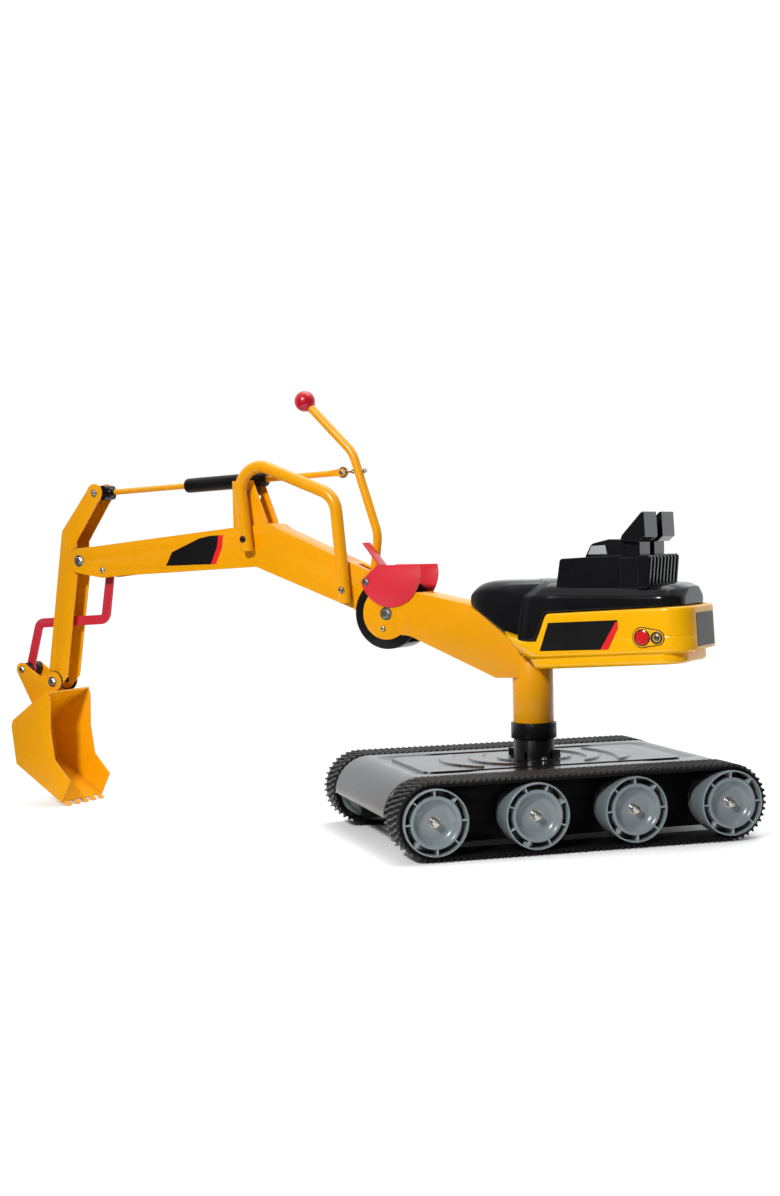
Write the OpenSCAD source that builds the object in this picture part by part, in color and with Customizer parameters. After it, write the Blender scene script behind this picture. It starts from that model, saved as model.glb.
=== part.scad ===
// Ride-on toy excavator: a tracked base, a swivelling seat and a lever-worked digging arm.
// Lengths are millimetres. +Z is up and the arm reaches out along -X.
// Every shape is drawn from the swivel axis; placed() then centres the whole model on the origin.

/* [Running gear] */
// Radius of a wheel's rim
wheel_r = 52; // [50:0.5:53]
// Distance between neighbouring axles
axle_pitch = 164; // [150:1:175]
// Height of the axles, which is also the outer radius of a track's ends
axle_z = 62; // [61:0.5:64]
// Width over both tracks
track_span = 458; // [450:1:470]
// Width of one track
track_w = 70; // [60:1:70]
// Radius of an axle
axle_r = 6; // [5:0.5:7]
// How far the base stands turned under the arm
base_turn = 44; // [40:1:50]

/* [Post] */
// Outer radius of the swivel post
post_r = 34; // [33:0.5:36]
// Radius of the fixed spindle inside the post
spindle_r = 25; // [22:0.5:26]
// Height of the post's lower end
post_foot_z = 182; // [175:1:190]
// Height of the post's upper end
post_top_z = 297; // [295:1:300]

/* [Arm] */
// How far the main pivot stands ahead of the swivel axis
main_pivot_x = 258; // [252:1:264]
// Height of the main pivot
main_pivot_z = 364.5; // [360:0.5:368]
// How far the stick's pivot stands ahead of the swivel axis
stick_pivot_x = 920; // [915:1:925]
// Height of the stick's pivot
stick_pivot_z = 464; // [460:1:468]
// Thickness of the arm's sheet metal
sheet = 2.5; // [2:0.1:3]
// Half the width inside the front boom's two plates
boom_half = 23.5; // [23:0.1:24]
// Radius of the control rod
rod_r = 5.5; // [4.5:0.5:6]
// Radius of the lift handle's tube
handle_r = 11; // [10:0.5:12]
// Radius of the lever's tube
lever_r = 7.75; // [7:0.25:8.5]
// Running clearance of a pivot's bore
running = 0.06; // [0.03:0.01:0.09]

/* [Bucket] */
// Width of the bucket
bucket_w = 126; // [120:1:132]
// Thickness of the bucket's sheet metal
bucket_sheet = 3; // [2.5:0.1:3.5]
// Number of teeth
teeth = 5; // [4:1:6]

/* [Body] */
// Half the width of the yellow body shell
shell_half = 82; // [80:1:84]
// Rise of the body towards the rear, in degrees
shell_tilt = 2.8; // [2:0.1:3.5]

/* [Hidden] */
$fn = 64;
tall = 600;

steel = "silver";
yellow = "orange";
black = "dimgray";
red = "crimson";

// Pivots of the arm as [x, z]
main_pivot = [-main_pivot_x, main_pivot_z];
stick_pivot = [-stick_pivot_x, stick_pivot_z];
lever_pivot = main_pivot + [-37, 55];
rod_front = stick_pivot + [35, 127];
rod_rear = lever_pivot + [-60, 191.6];
link_pivot = stick_pivot + [54, -18];
bucket_pivot = stick_pivot + [-72, -231];
link_end = stick_pivot + [-146, -208.5];
sleeve_pivot = stick_pivot + [379, 119];

// Layers of the arm, as half widths from its middle
stick_out = 20;
boom_out = boom_half + sheet;
shield_in = 26.5;
shield_out = 30;
rear_in = 30.5;
rear_out = rear_in + sheet;
guard_in = 33.4;
guard_out = 35.6;
ear_in = 23.5;
ear_out = ear_in + sheet;
handle_y = boom_out + handle_r;

// Bores and pins
main_bolt_r = 6;
stick_bolt_r = 5;
screw_r = 3;
eye_slack = 4.3;
link_slack = 5.2;

// Running gear
axle_xs = [-1.5, -0.5, 0.5, 1.5] * axle_pitch;
base_half_len = 1.5 * axle_pitch + axle_z;
belt_out = track_span / 2;
belt_in = belt_out - track_w;
belt_t = axle_z - wheel_r - 1;
wheel_in = belt_in + 3;
wheel_out = belt_out + 7;
cover_half = belt_in - 3;
cover_top = 123;
cover_t = 3;
panel_drop = 4;
panel_z = cover_top - panel_drop;
panel_half = [222, 101];
rail_half_len = 262;
frame_y = 146;

// The model's box runs from the bucket's front knuckle to the base's rear corner
bucket_knuckle_r = 13;
front_reach = -link_end[0] + bucket_knuckle_r;
rear_reach = base_half_len * cos(base_turn) + belt_out * sin(base_turn);
swivel_x = (front_reach - rear_reach) / 2;

// ---------- placing ----------

module placed() {
    translate([swivel_x, 0, 0])
        children();
}

module on_base() {
    placed()
        rotate([0, 0, base_turn])
            children();
}

// Origin on the shell's top front edge, leaning back with the body
shell_edge = [56, 366.6];

module on_shell() {
    placed()
        translate([shell_edge[0], 0, shell_edge[1]])
            rotate([0, -shell_tilt, 0])
                children();
}

// A flat outline in x and z, given thickness from y0 to y1
module slab(y0, y1) {
    translate([0, y1, 0])
        rotate([90, 0, 0])
            linear_extrude(y1 - y0)
                children();
}

// The same outline on both sides of the arm
module slab_pair(inner, outer) {
    slab(inner, outer)
        children();
    slab(-outer, -inner)
        children();
}

// A round pin across the arm
module cross_pin(p, r, y0, y1) {
    slab(y0, y1)
        translate(p)
            circle(r);
}

// A domed bolt head on one side: a flat washer and a dome
module bolt_head(p, r, y, side) {
    translate([p[0], y, p[1]])
        rotate([-90 * side, 0, 0]) {
            cylinder(h = 1.5, r = r);
            cylinder(h = 4.5, r1 = r * 0.8, r2 = r * 0.55);
        }
}

// ---------- flat outlines ----------

// Points along an arc about centre c
function arc(c, r, from, to, n = 20) =
    [for (i = [0:n]) let (a = from + (to - from) * i / n) c + r * [cos(a), sin(a)]];

// Two round ends and their common tangents
module tapered(p, rp, q, rq) {
    gap = norm(q - p);
    u = heading(q - p);
    a = acos((rp - rq) / gap);
    polygon(concat(arc(p, rp, u + a, u + 360 - a), arc(q, rq, u - a, u + a)));
}

module disc(p, r) {
    translate(p)
        circle(r);
}

module rounded_rect(w, h, r) {
    square([w - 2 * r, h], center = true);
    square([w, h - 2 * r], center = true);
    for (sx = [-1, 1], sy = [-1, 1])
        translate([sx * (w / 2 - r), sy * (h / 2 - r)])
            circle(r);
}

// A strip of constant width along a list of points, with mitred corners.
// side 1 grows it to the left of the path, -1 to the right.
function unit(v) = v / norm(v);
function left(v) = [-v[1], v[0]];
function mitre(p, i) =
    let (n = len(p),
         a = i == 0 ? unit(p[1] - p[0]) : unit(p[i] - p[i - 1]),
         b = i == n - 1 ? unit(p[n - 1] - p[n - 2]) : unit(p[i + 1] - p[i]),
         m = unit(left(a) + left(b)))
    m / (m * left(a));
module strip(p, t, side = 1) {
    n = len(p);
    polygon(concat(p, [for (i = [n - 1:-1:0]) p[i] + side * t * mitre(p, i)]));
}

// ---------- bent paths ----------

function heading(v) = atan2(v[1], v[0]);
function turn_of(a, b) = atan2(a[0] * b[1] - a[1] * b[0], a * b);

// Stations along a path in x and z whose corners are rounded to radius bend.
// Each one is [point, heading].
function corner_stations(p, i, bend, n = 6) =
    let (d = unit(p[i] - p[i - 1]),
         turn = turn_of(d, unit(p[i + 1] - p[i])),
         s = sign(turn),
         start = p[i] - bend * tan(abs(turn) / 2) * d,
         centre = start + s * bend * left(d))
    [for (k = [0:n]) let (h = heading(d) + turn * k / n)
        [centre - s * bend * [cos(h + 90), sin(h + 90)], h]];
function stations(p, bend) =
    let (n = len(p))
    concat([[p[0], heading(p[1] - p[0])]],
           [for (i = [1:n - 2]) each corner_stations(p, i, bend)],
           [[p[n - 1], heading(p[n - 1] - p[n - 2])]]);

// A tube of round section along a bent path, open at both ends
module tube_along(p, r, wall, bend, sides = 16) {
    st = stations(p, bend);
    n = len(st);
    function ring_at(i, radius) = [for (k = [0:sides - 1]) let (a = 360 * k / sides, h = st[i][1] + 90)
        [st[i][0][0] + radius * cos(a) * cos(h), radius * sin(a), st[i][0][1] + radius * cos(a) * sin(h)]];
    outer = [for (i = [0:n - 1]) each ring_at(i, r)];
    inner = [for (i = [0:n - 1]) each ring_at(i, r - wall)];
    m = n * sides;
    function quad(a, b, c, d) = [[a, b, c], [a, c, d]];
    polyhedron(concat(outer, inner),
        concat([for (i = [0:n - 2], k = [0:sides - 1]) let (j = (k + 1) % sides, a = i * sides, b = a + sides)
                    each concat(quad(a + k, a + j, b + j, b + k),
                                quad(m + a + k, m + b + k, m + b + j, m + a + j))],
               [for (k = [0:sides - 1]) let (j = (k + 1) % sides, e = m - sides)
                    each concat(quad(k, m + k, m + j, j),
                                quad(e + k, e + j, m + e + j, m + e + k))]));
}

// A flat bar of width w along a bent path, as an outline
module flat_bar(p, w, bend) {
    st = stations(p, bend);
    n = len(st);
    polygon(concat([for (i = [0:n - 1]) st[i][0] + w / 2 * [cos(st[i][1] - 90), sin(st[i][1] - 90)]],
                   [for (i = [n - 1:-1:0]) st[i][0] - w / 2 * [cos(st[i][1] - 90), sin(st[i][1] - 90)]]));
}

// A round bar between two points in x and z, in the plane that slab() turns upright
module bar_between(a, b, r) {
    translate([a[0], a[1], 0])
        rotate([0, 0, heading(b - a)])
            rotate([0, 90, 0])
                cylinder(h = norm(b - a), r = r);
}

// ---------- base ----------

// Outline of the cover's top and rounded ends, at radius r about the end axles
module cover_outline(r) {
    end = [1.5 * axle_pitch, 0];
    centre = [0, axle_z];
    polygon(concat(arc(centre + end, r, 0, 90, 24), arc(centre - end, r, 90, 180, 24)));
}

module base_cover() {
    rib_z = panel_z + 2.5;
    color(black)
        on_base() {
            difference() {
                slab(-cover_half, cover_half)
                    difference() {
                        cover_outline(cover_top - axle_z);
                        cover_outline(cover_top - axle_z - cover_t);
                    }
                translate([-panel_half[0], -panel_half[1], panel_z])
                    cube([2 * panel_half[0], 2 * panel_half[1], 10]);
            }
            // Sunk panel with raised arcs around the post
            difference() {
                translate([0, 0, panel_z - cover_t])
                    linear_extrude(cover_t + panel_drop - 0.5)
                        square(2 * panel_half + [6, 6], center = true);
                translate([-panel_half[0], -panel_half[1], panel_z])
                    cube([2 * panel_half[0], 2 * panel_half[1], 10]);
                translate([0, 0, 100])
                    cylinder(h = 30, r = spindle_r);
            }
            for (r = [108, 150])
                translate([0, 0, panel_z - 1])
                    linear_extrude(rib_z - panel_z + 1)
                        intersection() {
                            difference() {
                                circle(r + 16);
                                circle(r);
                            }
                            square([2 * panel_half[0] - 20, 176], center = true);
                        }
        }
}

module base_frame() {
    rail_top = panel_z - cover_t;
    rail_foot = 16;
    color(steel)
        on_base() {
            slab_pair(frame_y, frame_y + 4)
                difference() {
                    translate([-rail_half_len, rail_foot])
                        square([2 * rail_half_len, rail_top - rail_foot]);
                    for (x = axle_xs)
                        disc([x, axle_z], axle_r);
                }
            difference() {
                for (x = [-235, -60, 0, 60, 235])
                    translate([x - 15, -frame_y, rail_top - 6])
                        cube([30, 2 * frame_y, 6]);
                translate([0, 0, 90])
                    cylinder(h = 50, r = spindle_r);
            }
            translate([0, 0, rail_top - 10])
                linear_extrude(4)
                    difference() {
                        square([150, 120], center = true);
                        circle(spindle_r);
                    }
        }
}

module axles() {
    color(steel)
        on_base()
            for (x = axle_xs)
                cross_pin([x, axle_z], axle_r, -wheel_out + 2.6, wheel_out - 2.6);
}

module hub_bolts() {
    color(steel)
        on_base()
            for (x = axle_xs, side = [-1, 1])
                bolt_head([x, axle_z], 9.4, side * (wheel_out - 2.6), side);
}

// Outline of a belt's surface at radius r about the end axles
module belt_outline(r) {
    end = [1.5 * axle_pitch, 0];
    centre = [0, axle_z];
    polygon(concat(arc(centre + end, r, -90, 90, 32), arc(centre - end, r, 90, 270, 32)));
}

module track_belt(side) {
    color(black)
        on_base()
            slab(side > 0 ? belt_in : -belt_out, side > 0 ? belt_out : -belt_in)
                difference() {
                    belt_outline(axle_z);
                    belt_outline(axle_z - belt_t);
                }
}

module track_belt_left() {
    track_belt(-1);
}

module track_belt_right() {
    track_belt(1);
}

// A hollow moulded wheel: stepped drum, web, dished hub and spokes. Its height is measured outwards.
module wheel(side, n) {
    bore = axle_r + running;
    rim = wheel_r;
    step = rim - 4;
    small = rim - 12;
    h0 = wheel_in;
    h1 = wheel_out;
    web = h1 - 14;
    color("gray")
        on_base()
            translate([axle_xs[n], 0, axle_z])
                rotate([-90 * side, 0, 0]) {
                    rotate_extrude()
                        polygon([[bore, h0], [12, h0], [12, web], [rim - 3, web], [rim - 3, h0 + 32],
                                 [step - 3, h0 + 32], [step - 3, h0 + 11], [small - 3, h0 + 11],
                                 [small - 3, h0], [small, h0], [small, h0 + 8], [step, h0 + 8],
                                 [step, h0 + 29], [rim, h0 + 29], [rim, h1], [rim - 3, h1],
                                 [rim - 3, web + 4], [41, web + 4], [41, h1 - 2], [37, h1 - 2],
                                 [34, web + 6], [14, web + 6], [14, h1 - 3], [bore, h1 - 3]]);
                    for (k = [0:7])
                        rotate([0, 0, 45 * k + 22.5])
                            translate([40, -1.5, web + 3])
                                cube([rim - 42, 3, 9]);
                }
}

module wheel_left_1() {
    wheel(-1, 0);
}

module wheel_left_2() {
    wheel(-1, 1);
}

module wheel_left_3() {
    wheel(-1, 2);
}

module wheel_left_4() {
    wheel(-1, 3);
}

module wheel_right_1() {
    wheel(1, 0);
}

module wheel_right_2() {
    wheel(1, 1);
}

module wheel_right_3() {
    wheel(1, 2);
}

module wheel_right_4() {
    wheel(1, 3);
}

// ---------- swivel post ----------

collar_foot_z = post_foot_z - 26;
post_bore = post_r - 2;
spindle_top_z = post_top_z - 7;

module ring(r_out, r_in, z0, z1) {
    translate([0, 0, z0])
        linear_extrude(z1 - z0)
            difference() {
                circle(r_out);
                circle(r_in);
            }
}

module post_socket() {
    color(black)
        on_base() {
            ring(post_r, spindle_r, panel_z, collar_foot_z);
            ring(52, spindle_r, panel_z, panel_z + 4);
            for (k = [0:3])
                rotate([0, 0, 90 * k + 45])
                    translate([post_r - 1, -2, panel_z])
                        cube([14, 4, 18]);
        }
}

module socket_screws() {
    color(steel)
        on_base()
            for (k = [0:3])
                rotate([0, 0, 90 * k])
                    translate([44, 0, panel_z + 4]) {
                        cylinder(h = 1.5, r = 5.5);
                        cylinder(h = 4, r = 3.5);
                    }
}

module socket_collar() {
    color(black)
        on_base() {
            ring(post_r + 4, spindle_r, collar_foot_z, post_foot_z - 0.3);
            ring(post_bore - running, spindle_r, post_foot_z - 0.4, post_foot_z + 20);
        }
}

module spindle() {
    color(steel)
        on_base()
            ring(spindle_r, spindle_r - 4, panel_z - cover_t - 12, spindle_top_z);
}

module spindle_washer() {
    color(steel)
        on_base() {
            translate([0, 0, spindle_top_z])
                cylinder(h = 3, r = post_bore - 2);
            translate([0, 0, spindle_top_z + 3])
                cylinder(h = 3.5, r = 8);
        }
}

module post_tube() {
    color(yellow)
        placed()
            ring(post_r, post_bore, post_foot_z, post_top_z);
}

module upper_bush() {
    color(black)
        placed()
            ring(post_bore, spindle_r + running, spindle_top_z - 30, spindle_top_z - 3);
}

module seat_plate() {
    color(steel)
        placed()
            translate([110, 0, post_top_z])
                linear_extrude(3)
                    rounded_rect(220, 110, 8);
}

// ---------- rear boom ----------

rear_disc_r = 45;
shield_r = 61.5;

module rear_outline() {
    disc(main_pivot, rear_disc_r);
    polygon([main_pivot + [-9, 44], main_pivot + [55.7, 35.5], [-104.3, 379.9], [-3.3, 316.4], [-2, 260.5],
             [-4.9, 258], [-52.7, 257.1], [-193.4, 317.7], [-208, 324.5], [-219.6, 327.3],
             [-228, 327.3], main_pivot + [-9, -20]]);
}

module rear_boom() {
    web = [main_pivot + [57, 36], [-104.3, 380.4], [-3.3, 316.9]];
    color(yellow)
        placed()
            difference() {
                union() {
                    slab_pair(rear_in, rear_out)
                        difference() {
                            rear_outline();
                            disc(main_pivot, main_bolt_r);
                            disc(main_pivot + [-6, -25.7], 2.5);
                        }
                    slab(-rear_out, rear_out)
                        strip(web, sheet, -1);
                }
                cylinder(h = tall, r = post_r);
            }
}

module pivot_shield() {
    color(black)
        placed() {
            slab_pair(shield_in, shield_out)
                difference() {
                    disc(main_pivot, shield_r);
                    disc(main_pivot, main_bolt_r);
                    disc(main_pivot + [-6, -25.7], 2.5);
                }
            // The band that closes the gap under the knuckle
            slab(-shield_in, shield_in)
                intersection() {
                    difference() {
                        disc(main_pivot, shield_r);
                        disc(main_pivot, shield_r - 2.5);
                    }
                    polygon([main_pivot, main_pivot + 90 * [cos(235), sin(235)],
                             main_pivot + [0, -110], main_pivot + 90 * [cos(305), sin(305)]]);
                }
        }
}

module main_pivot_bolt() {
    color(steel)
        placed() {
            cross_pin(main_pivot, main_bolt_r, -rear_out, rear_out);
            for (side = [-1, 1])
                bolt_head(main_pivot, 11.4, side * rear_out, side);
        }
}

module boom_rivets() {
    p = main_pivot + [-6, -25.7];
    color(steel)
        placed()
            for (side = [-1, 1]) {
                cross_pin(p, 2.5, side > 0 ? shield_in : -rear_out, side > 0 ? rear_out : -shield_in);
                bolt_head(p, 5, side * rear_out, side);
            }
}

// ---------- body ----------

shell_depth = 90;
shell_len = 243;

// The shell as a solid, drawn in by inset on every side but the top
module shell_form(inset) {
    half = shell_half - inset;
    rear = shell_len - inset;
    corner = 43 - inset;
    intersection() {
        slab(-half, half)
            polygon([[inset, 1], [-16 + inset, -45], [-23 + inset, -shell_depth + inset],
                     [rear, -shell_depth + inset], [rear, 1]]);
        translate([0, 0, -120])
            linear_extrude(120 + inset) {
                translate([-30, -half])
                    square([rear + 30 - corner, 2 * half]);
                translate([0, -half + corner])
                    square([rear, 2 * (half - corner)]);
                for (s = [-1, 1])
                    translate([rear - corner, s * (half - corner)])
                        circle(corner);
            }
    }
}

// Space for the seat plate, a little larger than the plate
module seat_plate_room() {
    translate([-1, -60, post_top_z - 0.5])
        cube([222, 120, 4]);
}

module body_shell() {
    color(yellow) {
        difference() {
            on_shell()
                difference() {
                    shell_form(0);
                    shell_form(3);
                }
            placed()
                translate([0, 0, post_foot_z])
                    cylinder(h = tall, r = post_r + 1);
            placed()
                seat_plate_room();
        }
        // Lips that run forward on both sides of the post
        placed()
            difference() {
                slab_pair(post_r + 1.5, 50)
                    polygon([[-12, 292], [4, 275], [40, 275], [44, 318], [4, 318]]);
                cylinder(h = tall, r = post_r + 1);
                seat_plate_room();
            }
    }
}

module seat() {
    color(black) {
        placed()
            intersection() {
                slab(-74, 74)
                    polygon([[-101, 387], [-98.5, 380], [-8, 321], [12, 320.3], [38.5, 320.3],
                             [53.5, 370], [56, 420], [-56, 420], [-72, 417.5], [-88, 411], [-97, 401]]);
                linear_extrude(tall)
                    polygon([[-102, -30], [-90, -38], [-50, -50], [0, -74], [60, -74],
                             [60, 74], [0, 74], [-50, 50], [-90, 38], [-102, 30]]);
            }
        on_shell()
            intersection() {
                slab(-76, 76)
                    polygon([[0.5, 0], [231, 0], [236, 8], [236, 27], [228, 33], [0, 53], [-2, 53], [-2, 4]]);
                linear_extrude(60) {
                    translate([-10, -76])
                        square([210, 152]);
                    translate([100, -40])
                        square([136, 80]);
                    for (s = [-1, 1])
                        translate([200, s * 40])
                            circle(36);
                }
            }
    }
}

module engine_cowl() {
    color(black)
        placed() {
            slab(-65, 65)
                polygon([[73, 418.85], [79, 453.5], [121, 457.4], [132, 478], [163, 485], [187, 483],
                         [187, 414.45]]);
            // Stem and finned block behind it
            slab(-58, 58)
                polygon([[186, 490], [216, 482], [216, 440], [186, 440]]);
            slab(-74, 74)
                polygon([[186, 455], [237, 455], [239, 414.5], [186, 414.5]]);
            // Backrest in two heads with a slot between them
            slab_pair(11, 72)
                polygon([[186, 483], [190, 492], [223, 528], [227, 528], [229, 488], [217, 479]]);
        }
}

decal_t = 0.6;

module body_decals() {
    color("black") {
        on_shell() {
            // One plate on each side and one on the rear
            slab_pair(shell_half, shell_half + decal_t)
                polygon([[14, -16], [127, -16], [112, -62], [-4, -60]]);
            translate([shell_len, -41, -64])
                cube([decal_t, 82, 48]);
        }
        placed()
            slab_pair(65, 65 + decal_t)
                polygon([[126, 460], [131, 475], [156, 475], [159, 460]]);
    }
}

lamp_u = 178;
lamp_w = -48;

module lamp_bezels() {
    color(black)
        on_shell()
            slab_pair(shell_half, shell_half + 2)
                difference() {
                    translate([lamp_u + 2, lamp_w])
                        rounded_rect(50, 33, 15);
                    disc([lamp_u - 8, lamp_w + 2], 12);
                    disc([lamp_u + 16, lamp_w], 7);
                }
}

module tail_lamps() {
    color(red)
        on_shell()
            slab_pair(shell_half, shell_half + 3)
                disc([lamp_u - 8, lamp_w + 2], 12);
}

module marker_lamps() {
    color("gray")
        on_shell()
            slab_pair(shell_half, shell_half + 3)
                disc([lamp_u + 16, lamp_w], 7);
}

// ---------- front boom ----------

boom_top = [stick_pivot + [40, 26.9], stick_pivot + [354.6, 55.7], stick_pivot + [429, 60.4],
            stick_pivot + [444, 50.2], main_pivot + [-38, 73.9], main_pivot + [-8, 61]];
boom_screws = [stick_pivot + [383, 34], main_pivot + [-79, 41.5]];

module front_boom() {
    knuckle_r = 24;
    rear_r = 40;
    color(yellow)
        placed()
            difference() {
                union() {
                    slab_pair(boom_half, boom_out)
                        difference() {
                            union() {
                                disc(stick_pivot, knuckle_r);
                                disc(link_pivot, 15);
                                disc(main_pivot, rear_r);
                                polygon(concat([stick_pivot + [1, knuckle_r]], boom_top,
                                               [main_pivot + [24, 32], main_pivot + [-20, -34],
                                                main_pivot + [-67.7, 8.2], stick_pivot + [394.4, -15.6],
                                                stick_pivot + [96, -28.9], stick_pivot + [54, -33],
                                                stick_pivot + [-2, -knuckle_r]]));
                            }
                            disc(stick_pivot, stick_bolt_r);
                            disc(link_pivot, screw_r);
                            disc(lever_pivot, screw_r);
                            disc(main_pivot, main_bolt_r + running);
                        }
                    difference() {
                        slab(-boom_out, boom_out)
                            strip(boom_top, sheet, -1);
                        // Slot that the lever swings in
                        translate([lever_pivot[0] - 30, -11, lever_pivot[1]])
                            cube([50, 22, 60]);
                    }
                }
                for (p = boom_screws)
                    cross_pin(p, screw_r, -boom_out - 1, 0);
            }
}

module boom_decals() {
    color("black")
        placed()
            translate([stick_pivot[0], 0, stick_pivot[1]])
                slab_pair(boom_out, boom_out + decal_t)
                    polygon([[200, -12], [214, 13], [276, 37.5], [299, 41.5],
                             [327, 42.4], [324, 19], [310, -10]]);
}

handle_path = [stick_pivot + [386, 12], stick_pivot + [367, 185], main_pivot + [-94, 204.5],
               main_pivot + [-77, 18.5]];

module lift_handle() {
    color(yellow)
        placed()
            difference() {
                translate([0, -handle_y, 0])
                    tube_along(handle_path, handle_r, 1.5, 42, 20);
                for (p = boom_screws)
                    cross_pin(p, screw_r, -handle_y - 20, 0);
            }
}

module handle_screws() {
    color(steel)
        placed()
            for (p = boom_screws) {
                cross_pin(p, screw_r, -handle_y - handle_r, -boom_half + 3);
                cross_pin(p, 5, -boom_half, -boom_half + 3);
                bolt_head(p, 6, -handle_y - handle_r, -1);
            }
}

bracket_in = 16.5;
bracket_out = 19;

module rod_bracket() {
    foot = [stick_pivot + [345, 54.81], stick_pivot + [354.6, 55.7], stick_pivot + [418, 59.7]];
    color(yellow)
        placed() {
            slab_pair(bracket_in, bracket_out)
                difference() {
                    polygon(concat(foot, [stick_pivot + [417, 66], stick_pivot + [389, 139],
                                          stick_pivot + [345, 139]]));
                    // Slot that lets the sleeve's pin float
                    tapered(sleeve_pivot + [0, 1], 4.6, sleeve_pivot + [-1.2, -10.5], 4.6);
                }
            slab(-bracket_out, bracket_out)
                strip(foot, sheet);
        }
}

guard_centre = main_pivot + [10, 69.5];
guard_r = 58.6;

module guard_plate(inner, outer) {
    slab(inner, outer)
        difference() {
            intersection() {
                disc(guard_centre, guard_r);
                polygon([guard_centre + [-60, -60], guard_centre + [62, -60], guard_centre + [62, 14],
                         guard_centre + [-24, 14], guard_centre + [-56, -12]]);
            }
            disc(lever_pivot, screw_r);
        }
}

module guard_near() {
    color(red)
        placed() {
            guard_plate(-guard_out, -guard_in);
            // Flap that leans over the lever's slot
            slab(-guard_out, -9.5)
                strip([guard_centre + [-21, 13], guard_centre + [-52.4, 52]], 2.2, -1);
        }
}

module guard_far() {
    color(red)
        placed()
            guard_plate(guard_in, guard_out);
}

module lever_pivot_bolt() {
    color(steel)
        placed() {
            cross_pin(lever_pivot, screw_r, -guard_out, guard_out);
            for (side = [-1, 1])
                bolt_head(lever_pivot, 6.5, side * guard_out, side);
        }
}

module pivot_spacers() {
    color(black)
        placed() {
            slab_pair(3.3, boom_half)
                difference() {
                    union() {
                        disc(lever_pivot, 6.5);
                        disc(link_pivot, 10);
                    }
                    disc(lever_pivot, screw_r);
                    disc(link_pivot, screw_r);
                }
            slab_pair(boom_out, guard_in)
                difference() {
                    disc(lever_pivot, 4.2);
                    disc(lever_pivot, screw_r);
                }
        }
}

module stick_pivot_bolt() {
    color(steel)
        placed() {
            cross_pin(stick_pivot, stick_bolt_r, -boom_out, boom_out);
            for (side = [-1, 1])
                bolt_head(stick_pivot, 11, side * boom_out, side);
        }
}

module stick_spacers() {
    color(black)
        placed()
            slab_pair(stick_out + 0.4, boom_half)
                difference() {
                    disc(stick_pivot, 26);
                    disc(stick_pivot, stick_bolt_r);
                }
}

module link_screw() {
    color(steel)
        placed() {
            cross_pin(link_pivot, screw_r, -boom_out, boom_out);
            for (side = [-1, 1])
                bolt_head(link_pivot, 7, side * boom_out, side);
        }
}

// ---------- lever ----------

lever_path = [lever_pivot + [-135, 320.6], lever_pivot + [-40, 225.6], lever_pivot + [7, 81.6],
              lever_pivot + [-1, 15]];
rod_dir = unit(rod_rear - rod_front);
knob_r = 18.5;
eye_bolt_r = 2.2;

// A round bar along the rod's line, from a to b measured from point p
module rod_bar(p, a, b, r) {
    rotate([90, 0, 0])
        bar_between(p + a * rod_dir, p + b * rod_dir, r);
}

module lever_tube() {
    color(yellow)
        placed() {
            difference() {
                tube_along(lever_path, lever_r, 1.5, 60);
                rod_bar(rod_rear, 10, 60, eye_bolt_r);
            }
            // Flattened end that turns on the pivot bolt
            slab(-3, 3)
                difference() {
                    tapered(lever_pivot, 9, lever_pivot + [-1, 24], 6);
                    disc(lever_pivot, screw_r + running);
                }
        }
}

module lever_knob() {
    grip = lever_path[0];
    socket = unit(lever_path[1] - grip);
    color(red)
        placed()
            difference() {
                translate([grip[0], 0, grip[1]])
                    sphere(knob_r);
                rotate([90, 0, 0])
                    bar_between(grip, grip + 2 * knob_r * socket, lever_r);
            }
}

module lever_eye_bolt() {
    eye_r = 2.5 + eye_slack;
    color(steel)
        placed() {
            slab(-2, 2)
                difference() {
                    disc(rod_rear, eye_r + 3.2);
                    disc(rod_rear, eye_r);
                }
            rod_bar(rod_rear, eye_r + 2, 48, eye_bolt_r);
            for (a = [18.6, 42])
                rod_bar(rod_rear, a, a + 3, 4.5);
        }
}

// ---------- stick ----------

stick_in = stick_out - sheet;
stick_front = [stick_pivot + [21, 136], stick_pivot + [-44, 56.5], stick_pivot + [-85.5, -221]];

module stick() {
    color(yellow)
        placed()
            difference() {
                union() {
                    slab_pair(stick_in, stick_out)
                        difference() {
                            union() {
                                disc(rod_front, 17.5);
                                disc(stick_pivot, 22);
                                disc(bucket_pivot, 16);
                                polygon(concat(stick_front,
                                               [bucket_pivot + [-15, -4], bucket_pivot + [6, -15],
                                                stick_pivot + [-41, -221], stick_pivot + [-10, -24],
                                                stick_pivot + [-10, 36], rod_front + [17, -4]]));
                            }
                            disc(rod_front, screw_r);
                            disc(stick_pivot, stick_bolt_r + running);
                            disc(bucket_pivot, stick_bolt_r + running);
                        }
                    slab(-stick_out, stick_out)
                        strip(stick_front, sheet);
                }
                // Slot in the front face that the link passes through
                translate([stick_pivot[0] - 110, -9, stick_pivot[1] - 154])
                    cube([60, 18, 68]);
            }
}

module rod_pivot_screw() {
    color(steel)
        placed() {
            cross_pin(rod_front, screw_r, -stick_out, stick_out);
            for (side = [-1, 1])
                bolt_head(rod_front, 7, side * stick_out, side);
        }
}

// ---------- control rod and sleeve ----------

clevis_half = stick_in - 0.7;
rod_start = 30;
rod_len = norm(rod_rear - rod_front);

module control_rod() {
    color(yellow)
        placed()
            difference() {
                union() {
                    rod_bar(rod_front, rod_start, rod_len - 17, rod_r);
                    slab_pair(3, 5.5)
                        tapered(rod_rear - 22 * rod_dir, 5, rod_rear, 7);
                }
                cross_pin(rod_rear, 2.5, -10, 10);
            }
}

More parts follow.
